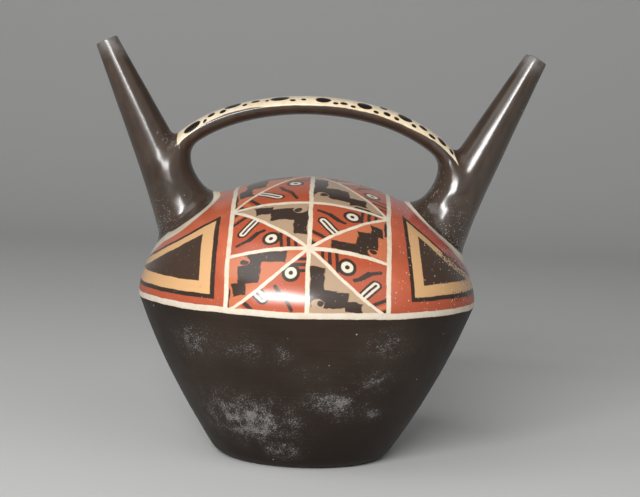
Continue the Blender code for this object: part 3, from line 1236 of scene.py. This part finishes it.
    def side_fields(self) -> Value:
        """The red sides, each with nested triangles of dark, tan and dark, front and back."""
        graph, finish, soft = self.graph, self.finish, self.finish.soft
        left, right = finish.left_field, finish.right_field
        on_right = graph.math("GREATER_THAN", self.true_x, 0.0)
        lean = graph.choose(on_right, left.inner_lean, right.inner_lean)
        inner_edge = abs(self.x) - graph.choose(on_right, left.inner_edge, right.inner_edge)
        inner_edge = inner_edge - lean * (finish.lean_top - self.z)
        inner_edge = inner_edge * graph.choose(on_right, left.inner_scale, right.inner_scale)
        floor_edge = self.z - graph.choose(on_right, left.floor_edge, right.floor_edge)
        roof = graph.choose(on_right, self.below_roof(left), self.below_roof(right))
        nest = inner_edge.low(floor_edge * 1.02).low(roof)
        # The red darkens towards the bottom of the fields as painted shade, over clouds where the slip
        # is brushed thicker.
        shade = self.red_shade().high(graph.ramp(self.true_z, 74.0, 88.0, 0.5, 0.0))
        # The paler side red is partly painted light.
        colour = graph.blend(shade, Slip.RED_PALE_PAINTED_LIGHT, Slip.RED_DEEP)
        worn = roof.below(-1.0, 3.0) * on_right * 0.8
        colour = graph.blend(worn, colour, Slip.CRIMSON)
        colour = graph.blend(nest.above(0.0, soft), colour, Slip.INK)
        colour = graph.blend(nest.above(finish.tan_inset, soft), colour, Slip.TAN)
        return graph.blend(nest.above(finish.core_inset, soft), colour, Slip.EARTH)

    def red_shade(self) -> Value:
        """Where the red slip is brushed thicker and darker."""
        cloud = self.graph.noise(self.place, 0.05, 3.0)
        return cloud.above(0.56, 0.25) * 0.45

    def collar(self, spout: Spout, shape: Collar) -> Value:
        """How far a place is outside the dark patch round a spout's root.

        Args:
            spout: The spout.
            shape: The patch's shape.

        Returns:
            Below zero in the patch and zero on its edge. It grows more slowly on the side away
            from the crown, where the brush ran wider.
        """
        graph = self.graph
        root, way = spout.root(self.finish.body) / MM, spout.direction()
        across = (self.x - root.x) * (-spout.side * way.z) + (self.z - root.z) * (spout.side * way.x)
        spread = graph.hypot(across, self.y).high(1.0)
        towards = (across / spread).high(-0.5)
        reach = towards * shape.lean + (towards * towards * 2.0 - 1.0) * shape.pinch + shape.mean
        return (spread - reach) * (towards.high(0.0) * 0.30 + 0.28) * shape.line_scale

    def bridge_place(self) -> tuple[Value, Value]:
        """Where a place lies on the strap.

        Returns:
            Its height over the middle line, and its turn round the section in degrees, 0 on top.
        """
        graph, bridge = self.graph, self.finish.bridge
        middle = bridge.middle() / MM
        half, rise = bridge.half_span() / MM, bridge.rise / MM
        across = (self.x - middle.x) / half
        up = (self.z - middle.z) / rise
        reach = graph.hypot(across, up)
        steep = graph.hypot(across / half, up / rise)
        slope = steep.high(0.001) / reach.high(0.1)
        over = (reach - 1.0) / slope
        side = self.y * (bridge.thickness / bridge.width)
        turn = graph.math("ARCTAN2", abs(side), over) * (180.0 / math.pi)
        return over, turn

    def bridge_paint(self, ground: Value) -> Value:
        """Cream slip on top of the strap, with dark ovals of three sizes."""
        graph, finish = self.graph, self.finish
        over, turn = self.bridge_place()
        run = graph.point(self.x, turn)
        spots = reduce(Value.low, [
            graph.disc(run, (where, turned), (1.0 / long_half, 1.0 / turned_half, 0.0))
            for where, turned, long_half, turned_half in finish.ovals])
        left_end = self.x.above(finish.strap_left, 0.5)
        right_end = (self.x + (self.z - 142.1) * 0.36).below(finish.strap_right, 0.5)
        dip = 1.0 - abs((self.x + 38.0) / 22.0) ** 2.0
        tapered = graph.ramp(self.x, 47.0, 63.0, 0.0, 22.0)
        top_side = (turn + dip.high(0.0) * 15.0 + tapered).below(90.0, 4.0)
        near = over.below(7.0, 0.5) * self.z.above(finish.strap_low, 0.5)
        zone = left_end * right_end * top_side * near
        soiled = graph.noise(self.place, 0.35, 3.0).above(0.5, 0.3) * 0.5
        # The cream is also darker towards the edge where the strap turns down from its top.
        soiled = soiled + turn.above(72.0, 30.0) * 0.4 + 0.12
        cream = graph.blend(soiled, Slip.CREAM, Slip.CREAM_SOILED)
        cream = graph.blend(spots.below(1.0, 0.16), cream, Slip.UMBER_DEEP)
        return graph.blend(zone, ground, cream)

    def dark_slip(self) -> Value:
        """The burnished dark slip, mottled, and streaked by the polishing stone on the body."""
        graph = self.graph
        cloud = graph.noise(self.place, 0.035, 4.0, 0.6)
        colour = graph.blend(cloud.above(0.5, 0.5), Slip.UMBER, Slip.UMBER_LIGHT)
        around = graph.math("ARCTAN2", self.true_y, self.true_x) * 38.0
        streaks = graph.noise(graph.point(around * 0.06, self.true_z * 0.9), 1.0, 4.0, 0.6)
        streaks = streaks.above(0.58, 0.3) * self.true_z.below(72.0, 2.0) * 0.3
        smears = self.streaky((0.22, 0.22, 0.06), 1.0, 4.0, 0.6).above(0.56, 0.26)
        smears = smears * self.true_z.above(76.0, 4.0) * 0.4
        # Painted shade: the lower body is darkened, most at the foot and towards the sides, away from
        # the front.
        front = graph.ramp(self.true_x, -62.0, -8.0, 1.0, 0.0)
        front = front.high(graph.ramp(self.true_x, 8.0, 62.0, 0.0, 1.0))
        low = graph.ramp(self.true_z, 8.0, 62.0, 0.9, 0.42).high(front * 0.85)
        low = self.true_z.below(72.0, 3.0) * low
        colour = graph.blend(low, colour, Slip.UMBER_DEEP)
        return graph.blend(streaks.high(smears), colour, Slip.UMBER_DEEP)

    def scuffs(self) -> Value:
        """Whitish rubbed patches on the lower half, made of short fine scratches."""
        graph = self.graph
        around = graph.math("ARCTAN2", self.true_x, self.true_y * -1.0) * 55.0
        spot = graph.point(around, self.true_z)
        near = []
        for where, high, wide, tall, strength in self.finish.rubbed:
            gap = graph.disc(spot, (where, high), (1.0 / wide, 1.0 / tall, 0.0))
            near.append(graph.ramp(gap, 0.1, 1.1, strength, 0.0))
        weight = reduce(Value.high, near)
        cloud = graph.noise(self.place, 0.16, 3.0, 0.6)
        density = weight * ((cloud - 0.5) * 3.0 + 0.9).high(0.0)
        limit = 0.72 - density * 0.22
        level = graph.noise(graph.point(around * 0.7, self.true_z * 2.9), 1.0, 3.0, 0.7)
        rise = around * 0.55 + self.true_z
        fall = self.true_z * 0.45 - around * 0.8
        slanted = graph.noise(graph.point(rise * 0.6, fall * 2.6, 7.0), 1.0, 3.0, 0.7)
        rubbed = (level - limit).high(slanted - limit).above(0.015, 0.045)
        haze = (density * 0.07).low(0.10)
        return rubbed.high(haze) * self.true_z.below(69.0, 4.0) * weight.above(0.02, 0.1)

    def cracks(self) -> Value:
        """Fine pale lines where the clay of the handle shrank: by the right loop and left joint."""
        graph = self.graph
        spot = graph.point(self.true_x, self.true_z)
        zone = graph.ramp(graph.disc(spot, (53.5, 126.0), (1.0, 0.6, 0.0)), 2.0, 9.0, 1.0, 0.0)
        zone = zone.high(graph.ramp(graph.disc(spot, (-64.0, 141.0)), 1.0, 7.0, 1.0, 0.0))
        lines = self.streaky((1.3, 1.3, 0.28), 1.0, 2.0, 0.6)
        return (lines + zone * 0.12).above(0.725, 0.05) * zone.above(0.05, 0.1)

    def lip_wear(self) -> Value:
        """Where handling has rubbed the slip thin round both lips."""
        patchy = self.graph.noise(self.place, 0.28, 3.0).above(0.45, 0.3)
        return self.true_z.above(180.0, 10.0) * (patchy * 0.7 + 0.3)

    def specks(self, pitch: float, size: float, share: float) -> Value:
        """Tiny round specks.

        Args:
            pitch: The mean distance from one to the next, in millimetres.
            size: The radius of the largest ones.
            share: On how large a share of the places there is one.

        Returns:
            A mask that is 1 on the specks.
        """
        graph = self.graph
        gap = graph.cells(self.place, 1.0 / pitch) * pitch
        luck, _, _ = graph.split(graph.cells(self.place, 1.0 / pitch, "Color"))
        limit = (luck - (1.0 - share)).high(0.0) * (size / share)
        return (gap - limit).below(0.0, 0.12)

    def paint(self) -> bpy.types.Material:
        """Lay the finish down, layer on layer, and return the material."""
        graph, finish = self.graph, self.finish
        across, up, number, half_height = self.cell_place()
        in_strip = abs(across).below(1.0, 0.01)
        colour = graph.blend(in_strip, self.side_fields(), Slip.RED)
        colour = self.triangle_art(across, up, number, half_height, colour)
        colour = graph.blend(self.lines(across, up, half_height), colour, self.cream())
        colour = self.paint_wear(colour)
        left = self.collar(finish.left, finish.left_collar)
        patch = left.low(self.collar(finish.right, finish.right_collar))
        in_line = (patch - finish.collar_line).below(0.0, finish.soft)
        colour = graph.blend(in_line, colour, self.cream())
        stands_off = self.height_over_dome().above(0.10, 0.02)
        bare = (patch + finish.collar_line).below(0.0, finish.soft).high(stands_off)
        bare = bare.high(1.0 - self.z.above(finish.ring_low, finish.soft))
        in_ring = self.z.below(finish.ring_high, finish.soft) * (1.0 - bare)
        ring_cream = graph.blend(0.22, self.cream(), Slip.DUST)
        colour = graph.blend(in_ring, colour, ring_cream)
        colour = graph.blend(bare, colour, self.dark_slip())
        near_patch = patch.above(-2.6, 2.6) * patch.below(-0.8, 0.3) * self.true_y.below(0.0, 9.0)
        near_patch = near_patch * self.true_z.below(116.0, 16.0) * 0.7
        scuffs = self.scuffs()
        for mask in (scuffs * 0.42, self.cracks() * 0.4, self.specks(5.5, 0.36, 0.35),
                     self.specks(0.8, 0.27, 0.85) * near_patch, self.lip_wear() * 0.4):
            colour = graph.blend(mask, colour, Slip.DUST)
        return self.finish_shader(self.bridge_paint(colour), 1.0 - bare, scuffs)

    def cream(self) -> Value:
        """Cream slip, a little soiled here and there."""
        soiled = self.graph.noise(self.place, 0.3, 4.0).above(0.56, 0.3) * 0.45
        return self.graph.blend(soiled, Slip.CREAM, Slip.CREAM_SOILED)

    def paint_wear(self, colour: Value) -> Value:
        """Flecks lost from the painted slip, most of them on the right."""
        graph = self.graph
        right = graph.ramp(self.true_x, 20.0, 62.0, 0.12, 1.0)
        patch = graph.noise(self.place, 0.09, 3.0).above(0.5, 0.2)
        flecks = self.specks(1.4, 0.36, 0.7) * (right * (0.55 + patch))
        colour = graph.blend(flecks.low(1.0) * 0.9, colour, Slip.CREAM)
        spot = graph.point(self.true_x, self.true_z)
        one = graph.point(1.0, 1.0)
        worn = graph.stroke(spot, (60.0, 95.5), (71.0, 86.0), one)
        worn = worn.low(graph.stroke(spot, (64.0, 78.6), (74.0, 78.6), one) * 1.8)
        worn = graph.ramp(worn, 0.5, 4.5, 1.0, 0.0)
        chips = graph.noise(self.place, 0.9, 3.0) + worn * 0.16
        chips = chips.above(0.65, 0.05) * worn.above(0.1, 0.2)
        chips = chips.high(self.specks(3.4, 0.75, 0.22) * right * patch)
        return graph.blend(chips, colour, Slip.UMBER_DEEP)

    def finish_shader(self, colour: Value, painted: Value, scuffs: Value) -> bpy.types.Material:
        """Set gloss and fine relief, and close the material.

        Args:
            colour: The finished colour.
            painted: A mask of the painted band.
            scuffs: A mask of the rubbed patches.

        Returns:
            The material.
        """
        graph = self.graph
        mottle = graph.noise(self.place, 0.12, 4.0, 0.6)
        upper = self.true_z.above(76.0, 10.0)
        stands = self.height_over_dome().above(0.12, 0.2)
        spouts = (self.true_x.below(-50.0, 10.0) * 0.56 + self.true_x.above(50.0, 10.0) * 0.22) * stands
        strap = self.true_z.above(128.0, 6.0) * abs(self.true_x).below(54.0, 8.0) * 0.5
        spot = graph.point(self.true_x, self.true_z)
        dull = graph.ramp(graph.disc(spot, (64.5, 135.0), (1.0, 0.75, 0.0)), 3.0, 9.0, 0.75, 0.0)
        coat = upper * (0.98 - spouts).low(0.98 - dull).low(0.98 - strap) + 0.02
        rough = graph.choose(upper, 0.52, 0.36) + (mottle - 0.5) * 0.16
        rough = rough + scuffs * 0.3 - painted * 0.02
        pits = self.specks(4.0, 0.34, 0.3)
        strokes = self.streaky((0.25, 0.25, 1.4), 0.5, 3.0)
        grain = graph.noise(self.place, 2.2, 3.0)
        relief = strokes * 0.5 + grain * 0.22 - pits * 1.2
        finish = self.finish
        return graph.close({
            "Base Color": colour, "Roughness": rough.low(0.85).high(0.18), "IOR": finish.slip_ior,
            "Coat Weight": coat, "Coat Roughness": finish.coat_roughness,
            "Coat IOR": finish.coat_ior, "Normal": graph.bump(relief, 0.5, 0.00012)})


@dataclass
class Studio:
    """A pale floor with a sweep behind, soft lights and the camera."""

    camera_place: Triple = VIEWPOINT
    pitch_down: float = math.radians(4.905)
    roll: float = math.radians(2.272)
    lens: float = 98.18
    sensor: float = 36.0
    floor_reach: float = 3.0
    sweep_start: float = 1.1
    sweep_radius: float = 0.9
    sweep_steps: int = 14
    backdrop_height: float = 2.0
    light_target: Triple = (0.0, 0.0, 0.09)
    world_strength: float = 0.12

    def camera(self) -> None:
        """Put the camera where the picture was taken from."""
        down, roll = self.pitch_down, self.roll
        forward = Vector((0.0, math.cos(down), -math.sin(down)))
        level_up = Vector((0.0, math.sin(down), math.cos(down)))
        level_right = Vector((1.0, 0.0, 0.0))
        right = level_right * math.cos(roll) + level_up * math.sin(roll)
        up = level_up * math.cos(roll) - level_right * math.sin(roll)
        turn = Matrix((right, up, -forward)).transposed().to_4x4()
        data = bpy.data.cameras.new("camera")
        data.lens = self.lens
        data.sensor_width = self.sensor
        data.sensor_fit = "HORIZONTAL"
        item = bpy.data.objects.new("camera", data)
        item.matrix_world = Matrix.Translation(self.camera_place) @ turn
        bpy.context.scene.collection.objects.link(item)
        bpy.context.scene.camera = item

    def floor(self) -> None:
        """A floor that curves up behind into a plain backdrop."""
        deselect_all()
        reach = self.floor_reach
        bpy.ops.mesh.primitive_plane_add(size=2.0 * reach, location=(0.0, 0.0, 0.0))
        item = bpy.context.object
        item.name = "floor"
        moves = []
        for step in range(self.sweep_steps):
            first, last = [QUARTER_TURN * (step + more) / self.sweep_steps for more in (0, 1)]
            forward = self.sweep_radius * (math.sin(last) - math.sin(first))
            moves.append((0.0, forward, self.sweep_radius * (math.cos(first) - math.cos(last))))
        moves.append((0.0, 0.0, self.backdrop_height))
        with editing(item, "DESELECT"):
            work = bmesh.from_edit_mesh(item.data)
            for edge in work.edges:
                if all(vert.co.y > 0.0 for vert in edge.verts):
                    edge.select_set(True)
            for vert in work.verts:
                vert.co.y = self.sweep_start if vert.co.y > 0.0 else vert.co.y
            bmesh.update_edit_mesh(item.data)
            for move in moves:
                bpy.ops.mesh.extrude_region_move(TRANSFORM_OT_translate={"value": move})
        bpy.ops.object.shade_smooth()
        looks = {"Base Color": linear(214, 214, 212), "Roughness": 0.75}
        item.data.materials.append(Graph("pale_floor").close(looks))

    def softbox(self, name: str, place: Triple, size: Pair,
                power: float) -> None:
        """Add a soft rectangular light that faces the vessel's middle."""
        data = bpy.data.lights.new(name, "AREA")
        data.shape = "RECTANGLE"
        data.size, data.size_y = size
        data.energy = power
        item = bpy.data.objects.new(name, data)
        aim = Vector(self.light_target) - Vector(place)
        item.rotation_euler = aim.to_track_quat("-Z", "Y").to_euler()
        item.location = place
        bpy.context.scene.collection.objects.link(item)

    def lights(self) -> None:
        """A key in front, a second one high on the left and a wide weak fill on the right."""
        self.softbox("key", (-0.38, -1.43, 0.61), (0.92, 0.22), 26.0)
        self.softbox("high", (-0.66, -0.66, 1.26), (1.10, 0.90), 5.0)
        self.softbox("fill", (0.95, -1.15, 0.90), (1.60, 1.40), 4.5)
        world = bpy.data.worlds.new("studio")
        world.use_nodes = True
        background = world.node_tree.nodes["Background"]
        background.inputs["Color"].default_value = (0.8, 0.82, 0.85, 1.0)
        background.inputs["Strength"].default_value = self.world_strength
        bpy.context.scene.world = world

    def build(self) -> None:
        """Build the floor, lights and camera."""
        self.camera()
        self.floor()
        self.lights()
        bpy.context.scene.view_settings.view_transform = "Standard"


def main() -> None:
    """Build the studio and the vessel, and report each piece."""
    logging.basicConfig(level=logging.INFO, format="%(name)s: %(message)s")
    Studio().build()
    vessel = Vessel()
    piece = vessel.build()
    finish = PaintedClay(vessel.body, vessel.left, vessel.right, vessel.bridge)
    piece.data.materials.clear()
    piece.data.materials.append(finish.material())
    piece.data.materials.append(BareClay().material())
    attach(piece, "root")
    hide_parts("vessel")
    LOG.info("%s stands for the node vessel", piece.name)


if __name__ == "__main__":
    main()
